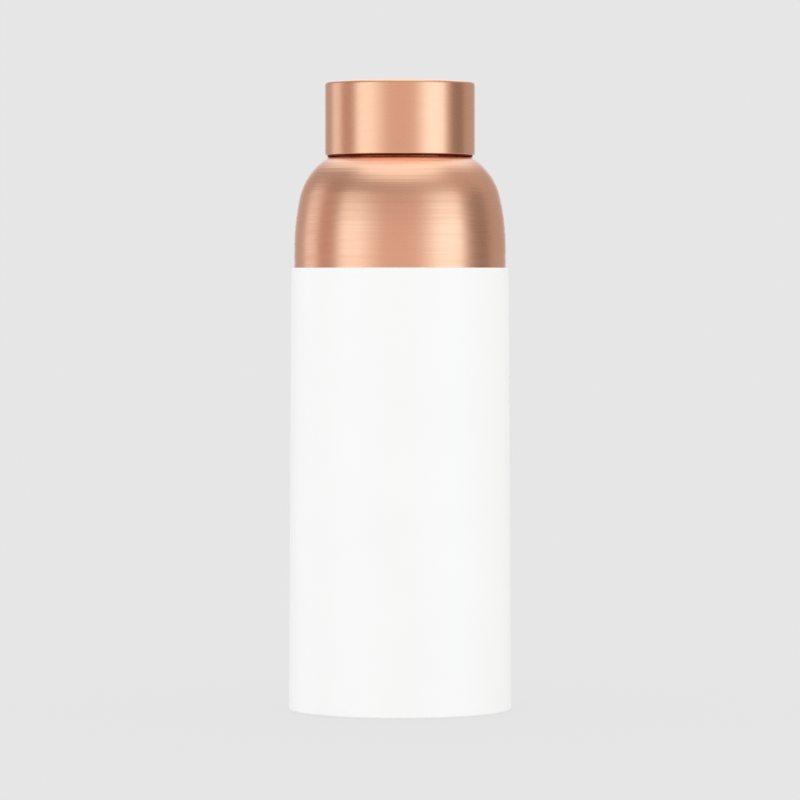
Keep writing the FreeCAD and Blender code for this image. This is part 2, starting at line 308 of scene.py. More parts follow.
class Workshop:
    """Geometry Nodes that make the bottle's shapes, and what turns their results into plain meshes."""

    def __init__(self, segments: int = 256, sharp_degrees: float = 32.0) -> None:
        """Build the trees.

        Args:
            segments: Faces round a turned piece.
            sharp_degrees: Bend from which an edge stays sharp.
        """
        self.segments = segments
        self.sharp = math.radians(sharp_degrees)
        self.turning = self._turning_tree()
        self.threading = self._threading_tree()

    @staticmethod
    def _tree(name: str, sockets: Iterable[tuple[str, str]]) -> tuple[Any, Any]:
        """Start a tree with a mesh coming in, named inputs, a finish, and a mesh going out.

        Args:
            name: The tree's name.
            sockets: Name and type of each input between the mesh and the finish.

        Returns:
            The tree and its input node.
        """
        tree = bpy.data.node_groups.new(name, "GeometryNodeTree")
        for label, kind in (("Mesh", "Geometry"), *sockets, ("Finish", "Material")):
            tree.interface.new_socket(name=label, in_out="INPUT", socket_type=f"NodeSocket{kind}")
        tree.interface.new_socket(name="Mesh", in_out="OUTPUT", socket_type="NodeSocketGeometry")
        return tree, add_node(tree, "NodeGroupInput")

    def _close(self, tree: bpy.types.NodeTree, mesh: Any, finish: Any) -> bpy.types.NodeTree:
        """End a tree: smooth faces with the sharp edges kept, real geometry, and a finish.

        Args:
            tree: The tree.
            mesh: The node whose mesh goes out.
            finish: The socket that gives the material.

        Returns:
            The tree.
        """
        smooth = add_node(tree, "GeometryNodeSetShadeSmooth", {"Geometry": mesh, "Shade Smooth": True},
                          domain="FACE")
        bend = add_node(tree, "GeometryNodeInputMeshEdgeAngle")
        sharp = add_node(tree, "FunctionNodeCompare", (bend, self.sharp),
                         data_type="FLOAT", operation="GREATER_THAN")
        edged = add_node(tree, "GeometryNodeSetShadeSmooth",
                         {"Geometry": smooth, "Selection": sharp, "Shade Smooth": False}, domain="EDGE")
        real = add_node(tree, "GeometryNodeRealizeInstances", [edged])
        dressed = add_node(tree, "GeometryNodeSetMaterial", {"Geometry": real, "Material": finish})
        add_node(tree, "NodeGroupOutput", [dressed])
        return tree

    def _turning_tree(self) -> bpy.types.NodeTree:
        """The lathe: it swings an outline that stands in the XZ plane round the Z axis.

        Returns:
            The tree.
        """
        tree, given = self._tree("Turning", [("Outline Points", "Int"), ("Segments", "Int")])
        columns = given.outputs["Outline Points"]
        rows = add_node(tree, "ShaderNodeMath", (given.outputs["Segments"], 1.0), operation="ADD")
        grid = add_node(tree, "GeometryNodeMeshGrid", {
            "Size X": 1.0, "Size Y": 1.0, "Vertices X": columns, "Vertices Y": rows})
        kept = add_node(tree, "GeometryNodeStoreNamedAttribute", {
            "Geometry": grid.outputs["Mesh"], "Name": "UVMap", "Value": grid.outputs["UV Map"]},
            data_type="FLOAT2", domain="CORNER")
        position = add_node(tree, "GeometryNodeInputPosition")
        place = add_node(tree, "ShaderNodeSeparateXYZ", [position])
        last = add_node(tree, "ShaderNodeMath", (columns, 1.0), operation="SUBTRACT")
        share = add_node(tree, "ShaderNodeMath", (place.outputs["X"], 0.5), operation="ADD")
        column = add_node(tree, "ShaderNodeMath", (share, last), operation="MULTIPLY")
        index = add_node(tree, "FunctionNodeFloatToInt", [column], rounding_mode="ROUND")
        point = add_node(tree, "GeometryNodeSampleIndex", {
            "Geometry": given.outputs["Mesh"], "Value": position, "Index": index},
            data_type="FLOAT_VECTOR", domain="POINT")
        turns = add_node(tree, "ShaderNodeMath", (place.outputs["Y"], 0.5), operation="ADD")
        angle = add_node(tree, "ShaderNodeMath", (turns, math.tau), operation="MULTIPLY")
        swung = add_node(tree, "ShaderNodeVectorRotate", {"Vector": point, "Angle": angle},
                         rotation_type="Z_AXIS")
        placed = add_node(tree, "GeometryNodeSetPosition", {"Geometry": kept, "Position": swung})
        whole = add_node(tree, "GeometryNodeMergeByDistance", {"Geometry": placed, "Distance": DOUBLES})
        return self._close(tree, whole, given.outputs["Finish"])

    def _threading_tree(self) -> bpy.types.NodeTree:
        """The thread cutter: a ridge along a helix that fades out at both ends, joined to its wall.

        Returns:
            The tree.
        """
        lengths = ("Wall Radius", "Side", "Depth", "Pitch", "Turns", "First Turn", "Start Height",
                   "Root Width", "Flank Slope", "Foot Depth", "Fade Offset", "Fade Sink", "Edge Break")
        tree, given = self._tree("Threading", [*((name, "Float") for name in lengths), ("Steps", "Int")])
        grid = add_node(tree, "GeometryNodeMeshGrid", {
            "Size X": 1.0, "Size Y": 1.0, "Vertices X": given.outputs["Steps"],
            "Vertices Y": len(RIDGE_CORNERS["out"])})
        place = add_node(tree, "ShaderNodeSeparateXYZ", [add_node(tree, "GeometryNodeInputPosition")])
        known: dict[Any, Any] = {socket.name: socket for socket in (*given.outputs, *place.outputs)}
        for name in RIDGE_CORNERS:
            known[name] = add_node(tree, "GeometryNodeIndexSwitch", data_type="FLOAT")
        for name, operation, *operands in RIDGE_SUMS:
            known[name] = add_node(tree, "ShaderNodeMath", [known.get(o, o) for o in operands],
                                   operation=operation)
        corner = add_node(tree, "FunctionNodeFloatToInt", [known["corner"]], rounding_mode="ROUND")
        for name, sums in RIDGE_CORNERS.items():
            while len(known[name].index_switch_items) < len(sums):
                known[name].index_switch_items.new()
            for i, source in enumerate((corner, *(known[s] for s in sums))):
                tree.links.new(source.outputs[0], known[name].inputs[i])
        flat = add_node(tree, "ShaderNodeCombineXYZ", {"X": known["radius"], "Z": known["height"]})
        swung = add_node(tree, "ShaderNodeVectorRotate", {"Vector": flat, "Angle": known["angle"]},
                         rotation_type="Z_AXIS")
        ridge = add_node(tree, "GeometryNodeSetPosition",
                         {"Geometry": grid.outputs["Mesh"], "Position": swung})
        whole = add_node(tree, "GeometryNodeMergeByDistance", {"Geometry": ridge, "Distance": DOUBLES})
        inward = add_node(tree, "FunctionNodeCompare", (known["Side"], 0.0),
                          data_type="FLOAT", operation="LESS_THAN")
        outside = add_node(tree, "GeometryNodeFlipFaces", {"Mesh": whole, "Selection": inward})
        joined = add_node(tree, "GeometryNodeMeshBoolean", {"Mesh 2": given.outputs["Mesh"]},
                          operation="UNION", solver="EXACT")
        tree.links.new(outside.outputs[0], joined.inputs["Mesh 2"])
        return self._close(tree, joined, given.outputs["Finish"])

    @staticmethod
    def _make(holder: bpy.types.Object, tree: bpy.types.NodeTree,
              sizes: Mapping[str, Any]) -> bpy.types.Object:
        """Run a tree on an object's mesh and leave the object with the plain result.

        Args:
            holder: The object, whose mesh goes in.
            tree: The tree.
            sizes: A value for each named input.

        Returns:
            The same object.
        """
        modifier = holder.modifiers.new(tree.name, "NODES")
        modifier.node_group = tree
        for item in tree.interface.items_tree:
            if item.in_out == "INPUT" and item.name in sizes:
                modifier[item.identifier] = sizes[item.name]
        depsgraph = bpy.context.evaluated_depsgraph_get()
        made = bpy.data.meshes.new_from_object(holder.evaluated_get(depsgraph), depsgraph=depsgraph)
        holder.modifiers.remove(modifier)
        holder.data = made
        made.name = holder.name
        return holder

    def turn(self, name: str, outline: Outline, finish: bpy.types.Material) -> bpy.types.Object:
        """Turn a piece from its outline.

        Args:
            name: The piece's name.
            outline: Its half section.
            finish: Its material.

        Returns:
            The piece, a closed mesh whose faces point outwards.
        """
        points = outline.points()
        mesh = bpy.data.meshes.new(name)
        mesh.from_pydata([(r * MM, 0.0, z * MM) for r, z in points],
                         [(i, i + 1) for i in range(len(points) - 1)], [])
        piece = bpy.data.objects.new(name, mesh)
        bpy.context.scene.collection.objects.link(piece)
        return self.sound(self._make(piece, self.turning, {
            "Outline Points": len(points), "Segments": self.segments, "Finish": finish}))

    def thread(self, piece: bpy.types.Object, sizes: Mapping[str, Any],
               finish: bpy.types.Material) -> bpy.types.Object:
        """Add a helical ridge to a turned piece.

        Args:
            piece: The piece.
            sizes: The ridge's named sizes.
            finish: The material.

        Returns:
            The same piece, with the ridge grown from its wall.
        """
        return self.sound(self._make(piece, self.threading, {**sizes, "Finish": finish}))

    @staticmethod
    def sound(piece: bpy.types.Object) -> bpy.types.Object:
        """Merge doubles, point the faces outwards and report edges that aren't closed.

        Args:
            piece: The piece.

        Returns:
            The same piece.
        """
        made = bmesh.new()
        made.from_mesh(piece.data)
        bmesh.ops.remove_doubles(made, verts=made.verts, dist=DOUBLES)
        bmesh.ops.dissolve_degenerate(made, dist=DOUBLES / 2, edges=made.edges)
        # The side of an outline that lies on the axis turns into bare edges.
        bare = [e for e in made.edges if not e.link_faces]
        bmesh.ops.delete(made, geom=bare, context="EDGES")
        bmesh.ops.recalc_face_normals(made, faces=made.faces)
        open_edges = sum(not e.is_manifold for e in made.edges)
        made.to_mesh(piece.data)
        triangles = sum(len(f.verts) - 2 for f in made.faces)
        made.free()
        LOG.info("%s: %d triangles, %d open edges", piece.name, triangles, open_edges)
        return piece


# ------------------------------------------------------------------ finishes
def surface(name: str) -> tuple[bpy.types.Material, bpy.types.NodeTree, bpy.types.Node]:
    """Start a material.

    Args:
        name: The material's name.

    Returns:
        The material, its tree and its Principled shader.
    """
    material = bpy.data.materials.new(name)
    material.use_nodes = True
    tree = material.node_tree
    tree.nodes.clear()
    shader = add_node(tree, "ShaderNodeBsdfPrincipled")
    add_node(tree, "ShaderNodeOutputMaterial", {"Surface": shader})
    return material, tree, shader


def noise_in(tree: bpy.types.NodeTree, size: float, detail: float = 2.0,
             roughness: float = 0.5) -> bpy.types.Node:
    """Cloudy pattern through a piece.

    Args:
        tree: The material's tree.
        size: Size of its patches, in millimetres.
        detail: How many finer layers it has.
        roughness: How strong those are.

    Returns:
        A node whose first output is about 0.5, more or less from patch to patch.
    """
    place = add_node(tree, "ShaderNodeTexCoord").outputs["Object"]
    return add_node(tree, "ShaderNodeTexNoise", {
        "Vector": place, "Scale": 1 / (size * MM), "Detail": detail, "Roughness": roughness})


def ranged(shader: bpy.types.Node, name: str, pattern: bpy.types.Node, low: float, high: float,
           start: float, end: float) -> None:
    """Let one of a shader's numbers follow a pattern.

    Args:
        shader: The shader.
        name: The number's name.
        pattern: The pattern.
        low: Level of the pattern at which the number is at its start.
        high: Level at which it is at its end.
        start: The number's start.
        end: The number's end.
    """
    tree = shader.id_data
    value = add_node(tree, "ShaderNodeMapRange", (pattern, low, high, start, end))
    tree.links.new(value.outputs[0], shader.inputs[name])


def tinted(shader: bpy.types.Node, share: Any, first: Colour, second: Colour) -> None:
    """Blend a shader's colour from two.

    Args:
        shader: The shader.
        share: Node or socket that gives the second colour's share.
        first: The first colour.
        second: The second colour.
    """
    tree = shader.id_data
    colour = add_node(tree, "ShaderNodeMix", {0: share, 6: first, 7: second}, data_type="RGBA")
    tree.links.new(colour.outputs[2], shader.inputs["Base Color"])


def mottled(shader: bpy.types.Node, tone: str, kept: Sequence[float], cloud: bpy.types.Node,
            low: float, high: float) -> None:
    """Let a shader's colour wander from a tone to a darker one in soft patches.

    Args:
        shader: The shader.
        tone: The tone.
        kept: How much of the tone's red, green and blue the darker one keeps.
        cloud: The patches.
        low: Their level up to which the tone is whole.
        high: Their level from which it is dark.
    """
    whole = linear(tone)
    dark = tuple(c * k for c, k in zip(whole, (*kept, 1.0)))
    tinted(shader, add_node(shader.id_data, "ShaderNodeMapRange", (cloud, low, high, 0.0, 1.0)),
           whole, dark)


def embossed(shader: bpy.types.Node, pattern: Any, depth: float,
             normal: bpy.types.Node | None = None, **settings: Any) -> bpy.types.Node:
    """Raise a pattern on a surface.

    Args:
        shader: The surface's shader.
        pattern: Node or socket of the pattern.
        depth: Height of a level of 1, in millimetres.
        normal: Relief that lies under it.
        **settings: Properties of the bump node.

    Returns:
        The bump node.
    """
    tree = shader.id_data
    under = {} if normal is None else {"Normal": normal}
    bump = add_node(tree, "ShaderNodeBump",
                    {"Height": pattern, "Strength": 1.0, "Distance": depth * MM, **under}, **settings)
    tree.links.new(bump.outputs[0], shader.inputs["Normal"])
    return bump


def lines_round(tree: bpy.types.NodeTree, spacing: float, length: float, seed: float,
                detail: float = 2.0, sway: float = 0.0) -> bpy.types.Node:
    """Fine lines that run round the axis, as a tool or a brush leaves them.

    Args:
        tree: The material's tree.
        spacing: Distance between lines, in millimetres.
        length: How far a line runs before it fades, in millimetres at 30 mm from the axis.
        seed: Shifts the pattern, so that no two are alike.
        detail: How many finer layers the pattern has.
        sway: How far a line rises and falls, twice in each turn, in millimetres.

    Returns:
        A node whose first output is about 0.5, more on a crest and less in a groove.
    """
    place = add_node(tree, "ShaderNodeTexCoord").outputs["Object"]
    flat = add_node(tree, "ShaderNodeVectorMath", (place, (1.0, 1.0, 0.0)), operation="MULTIPLY")
    out = add_node(tree, "ShaderNodeVectorMath", [flat], operation="NORMALIZE")
    radius = add_node(tree, "ShaderNodeVectorMath", [flat], operation="LENGTH")
    height = add_node(tree, "ShaderNodeSeparateXYZ", [place])
    # Height less radius always grows along an outside, whether it stands, leans in or lies flat.
    along = add_node(tree, "ShaderNodeMath", (height.outputs["Z"], radius.outputs["Value"]),
                     operation="SUBTRACT")
    stretched = add_node(tree, "ShaderNodeVectorMath", {0: out, "Scale": 30.0 / length}, operation="SCALE")
    leaning = add_node(tree, "ShaderNodeVectorMath", (out, (1.0, -1.0, 1.0)), operation="MULTIPLY")
    twice = add_node(tree, "ShaderNodeVectorMath", (out, leaning), operation="DOT_PRODUCT")
    swayed = add_node(tree, "ShaderNodeMath", (twice.outputs["Value"], sway * MM, along),
                      operation="MULTIPLY_ADD")
    count = add_node(tree, "ShaderNodeMath", (swayed, 1 / (spacing * MM), seed), operation="MULTIPLY_ADD")
    up = add_node(tree, "ShaderNodeCombineXYZ", {"Z": count})
    where = add_node(tree, "ShaderNodeVectorMath", (stretched, up), operation="ADD")
    return add_node(tree, "ShaderNodeTexNoise",
                    {"Vector": where, "Scale": 1.0, "Detail": detail, "Roughness": 0.6})


@dataclass(frozen=True)
class BrushedCopper:
    """Copper brushed on a spindle: its lines run round the axis and pull each highlight tall.

    To the eye it is a warm satin metal, streaked in fine level lines, a little uneven in colour.
    """

    name: str = "brushed_copper_shoulder"
    tone: str = "#FBBA97"
    deep_tone: str = "#F9B28F"
    patch: float = 22.0
    roughness: float = 0.28
    anisotropy: float = 0.35
    brush_spacing: float = 0.55   # real strokes are about 0.1 mm apart, drawn coarser so that they show
    brush_length: float = 25.0
    streak_spacing: float = 1.7   # heavier strokes among them
    stroke_depth: float = 0.012
    streak_depth: float = 0.052
    roughness_swing: float = 0.06
    streak_length: float = 70.0
    streak_sway: float = 0.0

    def make(self) -> bpy.types.Material:
        """Build the material.

        Returns:
            The material.
        """
        material, tree, shader = surface(self.name)
        fine = lines_round(tree, self.brush_spacing, self.brush_length, 0.0)
        heavy = lines_round(tree, self.streak_spacing, self.streak_length, 31.7, 1.0, self.streak_sway)
        strokes = add_node(tree, "ShaderNodeMath", (fine, heavy), operation="ADD")
        cloud = noise_in(tree, self.patch, 3.0)
        blend = add_node(tree, "ShaderNodeMath", (strokes, 0.35, cloud), operation="MULTIPLY_ADD")
        share = add_node(tree, "ShaderNodeMapRange", (blend, 0.6, 1.1, 0.0, 1.0))
        tinted(shader, share, linear(self.deep_tone), linear(self.tone))
        ranged(shader, "Roughness", strokes, 0.6, 1.4, self.roughness + self.roughness_swing,
               self.roughness - self.roughness_swing)
        low = embossed(shader, heavy, self.streak_depth)
        embossed(shader, fine, self.stroke_depth, low)
        tangent = add_node(tree, "ShaderNodeTangent", direction_type="RADIAL", axis="Z")
        tree.links.new(tangent.outputs[0], shader.inputs["Tangent"])
        shader.inputs["Metallic"].default_value = 1.0
        shader.inputs["Anisotropic"].default_value = self.anisotropy
        shader.inputs["Anisotropic Rotation"].default_value = 0.25
        return material


@dataclass(frozen=True)
class TurnedCopper:
    """Bare copper straight from the tool, with even tool marks round the axis.

    To the eye it is redder and duller than the brushed outside, with a regular fine groove.
    """

    name: str
    tone: str
    roughness: float
    mark_spacing: float
    mark_depth: float
    patch: float = 12.0
    dull: tuple[float, float, float] = (0.86, 0.80, 0.78)

    def make(self) -> bpy.types.Material:
        """Build the material.

        Returns:
            The material.
        """
        material, tree, shader = surface(self.name)
        cloud = noise_in(tree, self.patch, 4.0, 0.55)
        mottled(shader, self.tone, self.dull, cloud, 0.35, 0.7)
        ranged(shader, "Roughness", cloud, 0.3, 0.75, self.roughness - 0.04, self.roughness + 0.06)
        embossed(shader, lines_round(tree, self.mark_spacing, 160.0, 7.3, 1.0), self.mark_depth)
        shader.inputs["Metallic"].default_value = 1.0
        return material


@dataclass(frozen=True)
class MattSilicone:
    """White silicone rubber from a blasted mould: soft, even, with the faintest sheen.

    To the eye it is almost pure white and only just takes the light panels.
    """

    tone: str = "#F6F6F5"
    roughness: float = 0.42
    grain: float = 0.45           # the mould's grain is about 0.1 mm, drawn coarser so that it shows
    grain_depth: float = 0.004
    patch: float = 30.0

    def make(self) -> bpy.types.Material:
        """Build the material.

        Returns:
            The material.
        """
        material, tree, shader = surface("white_silicone")
        grain = noise_in(tree, self.grain)
        mottled(shader, self.tone, (0.985, 0.985, 0.985), noise_in(tree, self.patch), 0.3, 0.7)
        ranged(shader, "Roughness", grain, 0.3, 0.7, self.roughness - 0.04, self.roughness + 0.04)
        embossed(shader, grain, self.grain_depth)
        shader.inputs["IOR"].default_value = 1.42
        return material


@dataclass(frozen=True)
class ShadeDarkPolypropylene:
    """Dark brown polypropylene from a spark-eroded mould.

    To the eye it is a deep brown with a dry, slightly mottled gloss. The brown is made as dark as the
    shade in the gap under the cap, so its depth is painted shade.
    """

    # painted shade: this brown is as dark as the shadow in the gap under the cap, where the insert's rim
    # shows
    tone: str = "#5A1F0B"
    roughness: float = 0.45
    grain: float = 0.35           # the mould's grain is about 0.05 mm, drawn coarser so that it shows
    grain_depth: float = 0.010
    patch: float = 9.0

    def make(self) -> bpy.types.Material:
        """Build the material.

        Returns:
            The material.
        """
        material, tree, shader = surface("brown_plastic")
        grain = noise_in(tree, self.grain, 3.0)
        mottled(shader, self.tone, (0.82, 0.82, 0.82), noise_in(tree, self.patch), 0.35, 0.65)
        ranged(shader, "Roughness", grain, 0.3, 0.7, self.roughness - 0.06, self.roughness + 0.06)
        embossed(shader, grain, self.grain_depth)
        shader.inputs["IOR"].default_value = 1.49
        # little gloss, so that the rim stays as dark as the painted shade
        shader.inputs["Specular IOR Level"].default_value = 0.08
        return material


@dataclass(frozen=True)
class ClosedCellFoam:
    """Grey polyethylene foam, die cut from sheet: its skin is dimpled by the cells under it."""

    tone: str = "#C3C2BE"
    cell: float = 0.6
    dimple: float = 0.05

    def make(self) -> bpy.types.Material:
        """Build the material.

        Returns:
            The material.
        """
        material, tree, shader = surface("pad_foam")
        place = add_node(tree, "ShaderNodeTexCoord").outputs["Object"]
        cells = add_node(tree, "ShaderNodeTexVoronoi", {"Vector": place, "Scale": 1 / (self.cell * MM)})
        wall = tuple(c * 0.8 for c in linear(self.tone)[:3]) + (1.0,)
        tinted(shader, cells.outputs["Distance"], linear(self.tone), wall)
        embossed(shader, cells.outputs["Distance"], self.dimple, invert=True)
        shader.inputs["Roughness"].default_value = 0.8
        shader.inputs["IOR"].default_value = 1.5
        return material


@dataclass(frozen=True)
class ClearSilicone:
    """Uncoloured silicone rubber: milky, satin, with light glowing a little way into it."""

    tone: str = "#E9E7E1"
    grain: float = 0.3
    grain_depth: float = 0.003
    glow: float = 0.8             # how far light gets into it

    def make(self) -> bpy.types.Material:
        """Build the material.

        Returns:
            The material.
        """
        material, tree, shader = surface("clear_silicone")
        grain = noise_in(tree, self.grain)
        ranged(shader, "Roughness", grain, 0.3, 0.7, 0.28, 0.38)
        embossed(shader, grain, self.grain_depth)
        shader.inputs["Base Color"].default_value = linear(self.tone)
        shader.inputs["IOR"].default_value = 1.41
        shader.inputs["Subsurface Weight"].default_value = 0.6
        shader.inputs["Subsurface Radius"].default_value = (1.0, 0.95, 0.85)
        shader.inputs["Subsurface Scale"].default_value = self.glow * MM
        return material


class Finishes:
    """The bottle's finishes, each made once."""

    def __init__(self) -> None:
        """Build the materials."""
        self.brushed = BrushedCopper().make()
        self.fine_brushed = BrushedCopper(
            name="brushed_copper_cap", tone="#FAB894", deep_tone="#F9B490", roughness=0.27,
            anisotropy=0.30, brush_spacing=0.42, streak_spacing=1.5, stroke_depth=0.002,
            streak_depth=0.008, roughness_swing=0.012, streak_length=45.0, streak_sway=6.5).make()
        self.spun = TurnedCopper("inner_copper", "#E9A17C", 0.30, 0.9, 0.010).make()
        self.machined = TurnedCopper("neck_copper", "#EFA884", 0.22, 0.5, 0.004).make()
        self.silicone = MattSilicone().make()
        # dark brown insert finish: its depth is painted shade for the gap under the cap
        self.plastic = ShadeDarkPolypropylene().make()
        self.foam = ClosedCellFoam().make()
        self.clear = ClearSilicone().make()


# ------------------------------------------------------------------ the bottle's sub-assemblies
@dataclass
class Assembly:
    """A sub-assembly, with the workshop that turns its pieces and the finishes that dress them."""

    shop: Workshop
    finishes: Finishes

    def build(self) -> list[bpy.types.Object]:
        """Make the pieces and set them on their bodies."""
        raise NotImplementedError


@dataclass
class Thread:
    """Sizes that the two ridges share: one start, right-handed."""

    pitch: float = 5.0
    depth: float = 1.3
    crest_width: float = 1.3
    flank_angle: float = 26.57
    clearance: float = 0.4
    flank_play: float = 0.15
    foot_depth: float = 0.35
    fade_offset: float = 5.0
    fade_sink: float = 0.15
    edge_break: float = 0.12
    steps_per_turn: int = 144

    @property
    def slope(self) -> float:
        """Widening of a ridge for each millimetre down its flank."""
        return math.tan(math.radians(self.flank_angle))

    @property
    def root_width(self) -> float:
        """Width of a ridge where it meets its wall."""
        return self.crest_width + 2 * self.depth * self.slope

    def sizes(self, wall: float, side: float, depth: float, turns: float, first_turn: float,
              start: float) -> dict[str, Any]:
        """Named inputs of the threading tree, in metres where they are lengths.

        Args:
            wall: Radius of the wall that the ridge grows from.
            side: 1 for a ridge that stands out, -1 for one that stands in.
            depth: How far it stands from the wall.
            turns: Its length.
            first_turn: The turn on the helix where it begins.
            start: Height of the helix at turn 0.

        Returns:
            The inputs by name.
        """
        return {
            "Wall Radius": wall * MM, "Side": side, "Depth": depth * MM, "Pitch": self.pitch * MM,
            "Turns": turns, "First Turn": first_turn, "Start Height": start * MM,
            "Root Width": self.root_width * MM, "Flank Slope": self.slope,
            "Foot Depth": self.foot_depth * MM, "Fade Offset": self.fade_offset * MM,
            "Fade Sink": self.fade_sink * MM, "Edge Break": self.edge_break * MM,
            "Steps": int(turns * self.steps_per_turn) + 1}


@dataclass
class Vessel(Assembly):
    """The copper vessel: drawn tube, pressed base, spun shoulder and machined mouth ring."""

    sheet: float = 0.8
    straight_top: float = 152.2
    slack_radius: float = 80.0
    slack_turn: float = 12.5
    tight_radius: float = 21.0
    land_round: float = 0.7
    lap_length: float = 6.0
    swage_length: float = 1.2
    swage_setback: float = 0.4
    base_depth: float = 3.0
    base_knee: float = 1.6
    base_dome: float = 260.0
    neck_wall: float = 1.5
    collar_height: float = 1.3
    collar_width: float = 1.1
    collar_round: float = 0.4
    collar_to_thread: float = 2.9
    rim_round: float = 0.6
    spigot_step: float = 0.3
    stake_height: float = 0.9
    stake_width: float = 0.8
    stake_round: float = 0.3
    neck_turns: float = 2.0
    thread: Thread = field(default_factory=Thread)

    def __post_init__(self) -> None:
        """Take the places of the pieces from the frame."""
        self.radius = reach("shoulder_dome")
        self.bore = self.radius - self.sheet
        self.lap_bottom = foot_of("shoulder_dome")
        self.land = top_of("shoulder_dome")
        self.floor = foot_of("body_tube")
        self.rim = top_of("neck_ring")
        self.barrel = reach("neck_ring") - self.thread.depth
        self.mouth = self.barrel - self.neck_wall

    def build(self) -> list[bpy.types.Object]:
        """Turn the vessel's pieces and set them on their body.

        Returns:
            The pieces.
        """
        return [
            settle(self.shoulder(), Body.VESSEL, "shoulder_dome"),
            settle(self.tube(), Body.VESSEL, "body_tube"),
            settle(self.base(), Body.VESSEL, "base_pan"),
            settle(self.mouth_ring(), Body.VESSEL, "neck_ring"),
        ]

    def shoulder(self) -> bpy.types.Object:
        """The spun shoulder: straight skirt, slack arc, tight arc and the flat land round the neck.

        Returns:
            The piece.
        """
        slack_centre = (self.radius - self.slack_radius, self.straight_top)
        turn = math.radians(self.slack_turn)
        span = self.slack_radius - self.tight_radius
        tight_centre = (slack_centre[0] + span * math.cos(turn), slack_centre[1] + span * math.sin(turn))
        round_z = self.land - self.land_round
        round_reach = math.sqrt((self.tight_radius - self.land_round) ** 2
                                - (round_z - tight_centre[1]) ** 2)
        outer_end = math.degrees(math.atan2(round_z - tight_centre[1], round_reach))
        inner_tight = self.tight_radius - self.sheet
        inner_end = math.degrees(math.asin((self.land - self.sheet - tight_centre[1]) / inner_tight))
        spigot = self.barrel - self.spigot_step
        outline = Outline([
            [(self.bore, self.lap_bottom)],
            [(self.radius, self.lap_bottom)],
            arc(slack_centre, self.slack_radius, 0, self.slack_turn, step=0.35),
            arc(tight_centre, self.tight_radius, self.slack_turn, outer_end, step=1.0),
            arc((tight_centre[0] + round_reach, round_z), self.land_round, outer_end, 90.0, step=4.0),
            [(spigot, self.land)],
            [(spigot, self.land - self.sheet)],
            arc(tight_centre, inner_tight, inner_end, self.slack_turn, step=2.0),
            arc(slack_centre, self.slack_radius - self.sheet, self.slack_turn, 0, step=1.0),
        ])
        return self.shop.turn("shoulder_spun", outline, self.finishes.brushed)

    def tube(self) -> bpy.types.Object:
        """The tube that the sleeve covers, its top end swaged in.

        Returns:
            The piece.
        """
        top = self.lap_bottom + self.lap_length
        swage_top = self.lap_bottom - self.swage_setback
        swage_bottom = swage_top - self.swage_length
        drop = self.sheet * math.tan(math.atan2(self.sheet, self.swage_length) / 2)
        outline = Outline(rounded(
            (self.bore, self.floor),
            (self.radius, self.floor),
            (self.radius, swage_bottom, self.sheet),
            (self.bore, swage_top, self.sheet),
            (self.bore, top),
            (self.bore - self.sheet, top),
            (self.bore - self.sheet, swage_top - drop, self.sheet),
            (self.bore, swage_bottom - drop, self.sheet)))
        return self.shop.turn("tube_drawn", outline, self.finishes.spun)

    def base(self) -> bpy.types.Object:
        """The pressed base, with its skirt down and its floor domed up.

        Returns:
            The piece.
        """
        knee = (self.bore - self.base_knee, self.floor + self.base_depth)
        span = self.base_dome - self.base_knee
        join = math.acos(knee[0] / span)
        centre = (knee[0] - span * math.cos(join), knee[1] - span * math.sin(join))
        turn = math.degrees(join)
        outline = Outline([
            [(self.bore - self.sheet, self.floor)],
            [(self.bore, self.floor)],
            arc(knee, self.base_knee, 0, turn),
            arc(centre, self.base_dome, turn, 90.0, step=0.3),
            arc(centre, self.base_dome - self.sheet, 90.0, turn, step=0.3),
            arc(knee, self.base_knee - self.sheet, turn, 0),
        ])
        return self.shop.turn("base_pressed", outline, self.finishes.spun)

    def mouth_ring(self) -> bpy.types.Object:
        """The mouth ring: staked spigot, collar, threaded barrel and rolled rim.

        Returns:
            The piece.
        """
        stake_top = self.land - self.sheet
        stake_bottom = stake_top - self.stake_height
        spigot = self.barrel - self.spigot_step
        collar_top = self.land + self.collar_height
        outline = Outline(rounded(
            (self.mouth, stake_bottom, self.stake_round),
            (spigot + self.stake_width, stake_bottom, self.stake_round),
            (spigot + self.stake_width, stake_top),
            (spigot, stake_top),
            (spigot, self.land),
            (self.barrel + self.collar_width, self.land),
            (self.barrel + self.collar_width, collar_top, self.collar_round),
            (self.barrel, collar_top, self.collar_round),
            (self.barrel, self.rim, self.rim_round),
            (self.mouth, self.rim, self.rim_round)))
        ring = self.shop.turn("mouth_ring", outline, self.finishes.machined)
        ridge = self.thread.sizes(self.barrel, 1.0, self.thread.depth, self.neck_turns, 0.0,
                                  collar_top + self.collar_to_thread)
        return self.shop.thread(ring, ridge, self.finishes.machined)


@dataclass
class Sleeve(Assembly):
    """The moulded white sleeve, turned in under the copper to make the bottle's foot."""

    foot_wall: float = 1.8
    top_wall: float = 0.9
    floor_wall: float = 1.6
    floor_width: float = 6.5
    top_round: float = 0.35
    foot_round: float = 0.7
    inner_round: float = 0.4

    def build(self) -> list[bpy.types.Object]:
        """Turn the sleeve and set it on the vessel.

        Returns:
            The pieces.
        """
        # The rounded foot takes the widest place off the drafted side, so the box gives its size there.
        bore = reach("shoulder_dome")
        top = top_of("white_sleeve")
        draft = (self.foot_wall - self.top_wall) / top
        widest = reach("white_sleeve") + draft * self.foot_round
        outline = Outline(rounded(
            (bore - self.floor_width, 0.0, self.inner_round),
            (widest, 0.0, self.foot_round),
            (bore + self.top_wall, top, self.top_round),
            (bore, top),
            (bore, self.floor_wall),
            (bore - self.floor_width, self.floor_wall, self.inner_round)))
        piece = self.shop.turn("sleeve_moulded", outline, self.finishes.silicone)
        return [settle(piece, Body.VESSEL, "white_sleeve")]


